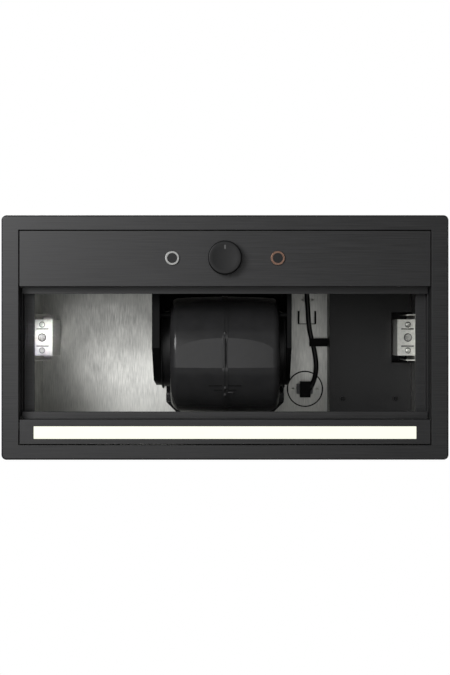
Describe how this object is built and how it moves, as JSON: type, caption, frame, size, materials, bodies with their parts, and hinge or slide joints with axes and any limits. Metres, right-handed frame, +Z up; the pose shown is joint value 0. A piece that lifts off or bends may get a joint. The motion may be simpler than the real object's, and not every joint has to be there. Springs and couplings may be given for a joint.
{
  "type": "cooker hood insert",
  "caption": "Built-in cooker hood insert with its grease filter off: black flange, control panel with knob and buttons, lamp, double-inlet blower, duct spigot and side clamps.",
  "frame": {"origin": "centre of the flange, on the plane that meets the underside of the cabinet", "axes": "+Z up into the cabinet, -Y towards the controls, +Y towards the lamp, +X towards the electronics cover"},
  "size_m": [0.53, 0.29, 0.293],
  "materials": {
    "black_sheet": "brushed black powder coat",
    "galvanised": "brushed galvanised steel",
    "zinc_plate": "bright zinc plate",
    "knob_black": "spun satin black",
    "index_white": "satin",
    "ring_silver": "polished",
    "ring_copper": "polished",
    "button_black": "satin",
    "steel_parts": "turned",
    "lens_white": "frosted",
    "lamp_aluminium": "extruded",
    "board_white": "solder mask",
    "board_green": "solder mask",
    "casing_black": "moulded gloss",
    "plastic_black": "moulded satin",
    "plastic_white": "moulded satin",
    "motor_grey": "painted",
    "lead_black": "satin sheath"
  },
  "bodies": {
    "hood": {"face_frame": "black_sheet", "filter_rail_left": "black_sheet", "filter_rail_right": "black_sheet", "control_panel": "black_sheet", "control_box": "plastic_black", "control_board": "board_green", "rotary_switch": "steel_parts", "light_button_ring": "ring_silver", "light_switch": "plastic_black", "boost_button_ring": "ring_copper", "boost_switch": "plastic_black", "panel_nuts": "steel_parts", "lamp_panel": "black_sheet", "lamp_lens": "lens_white", "lamp_channel": "lamp_aluminium", "led_board": "board_white", "housing_front": "galvanised", "housing_rear": "galvanised", "housing_left": "galvanised", "housing_right": "galvanised", "housing_top": "galvanised", "rivets": "zinc_plate", "clamp_bracket_left": "zinc_plate", "clamp_bracket_right": "zinc_plate", "volute_left": "casing_black", "volute_right": "casing_black", "inlet_ring_left": "plastic_black", "inlet_ring_right": "plastic_black", "motor": "motor_grey", "motor_bracket": "plastic_black", "blower_cheek_left": "plastic_black", "blower_cheek_right": "plastic_black", "blower_foot": "plastic_black", "screws": "steel_parts", "outlet_adapter": "galvanised", "duct_collar": "plastic_black", "flap_pin": "steel_parts", "electronics_cover": "black_sheet", "power_board": "board_green", "terminal_block": "plastic_white", "mains_gland": "plastic_black", "socket_plate": "galvanised", "socket": "plastic_white", "connector": "plastic_black", "blower_lead": "lead_black", "cable_clip": "plastic_black"},
    "knob": {"control_knob": "knob_black", "knob_index": "index_white", "switch_shaft": "steel_parts"},
    "light_button": {"light_button": "button_black"},
    "boost_button": {"boost_button": "button_black"},
    "impeller": {"impeller": "plastic_black", "impeller_rings": "plastic_black", "motor_shaft": "steel_parts"},
    "flap_front": {"flap_front": "plastic_black"},
    "flap_rear": {"flap_rear": "plastic_black"},
    "clamp_screw_left": {"clamp_screw_left": "steel_parts"},
    "clamp_foot_left": {"clamp_foot_left": "zinc_plate"},
    "clamp_screw_right": {"clamp_screw_right": "steel_parts"},
    "clamp_foot_right": {"clamp_foot_right": "zinc_plate"}
  },
  "joints": [
    {"name": "knob_turn", "type": "hinge", "parent": "hood", "child": "knob", "pos_m": [0, -0.094, -0.012], "axis": [0, 0, 1], "range_deg": [0, 180]},
    {"name": "light_button_press", "type": "slide", "parent": "hood", "child": "light_button", "axis": [0, 0, 1], "range_m": [0, 0.0015], "stiffness_N_per_m": 400},
    {"name": "boost_button_press", "type": "slide", "parent": "hood", "child": "boost_button", "axis": [0, 0, 1], "range_m": [0, 0.0015], "stiffness_N_per_m": 400},
    {"name": "impeller_spin", "type": "hinge", "parent": "hood", "child": "impeller", "pos_m": [0, 0.014, 0.118], "axis": [1, 0, 0], "continuous": true},
    {"name": "front_flap_lift", "type": "hinge", "parent": "hood", "child": "flap_front", "pos_m": [0, 0.052, 0.236], "axis": [-1, 0, 0], "range_deg": [0, 75]},
    {"name": "rear_flap_lift", "type": "hinge", "parent": "hood", "child": "flap_rear", "pos_m": [0, 0.052, 0.236], "axis": [1, 0, 0], "range_deg": [0, 75]},
    {"name": "left_clamp_screw_turn", "type": "hinge", "parent": "hood", "child": "clamp_screw_left", "pos_m": [-0.235, 0, 0.13], "axis": [0, 0, -1], "range_deg": [0, 9001]},
    {"name": "left_clamp_foot_slide", "type": "slide", "parent": "hood", "child": "clamp_foot_left", "axis": [0, 0, 1], "range_m": [0, 0.02]},
    {"name": "right_clamp_screw_turn", "type": "hinge", "parent": "hood", "child": "clamp_screw_right", "pos_m": [0.235, 0, 0.13], "axis": [0, 0, -1], "range_deg": [0, 9001]},
    {"name": "right_clamp_foot_slide", "type": "slide", "parent": "hood", "child": "clamp_foot_right", "axis": [0, 0, 1], "range_m": [0, 0.02]}
  ],
  "couplings": [
    {"joint": "left_clamp_screw_turn", "follows": "left_clamp_foot_slide", "rad_per_m": 7854},
    {"joint": "right_clamp_screw_turn", "follows": "right_clamp_foot_slide", "rad_per_m": 7854}
  ]
}
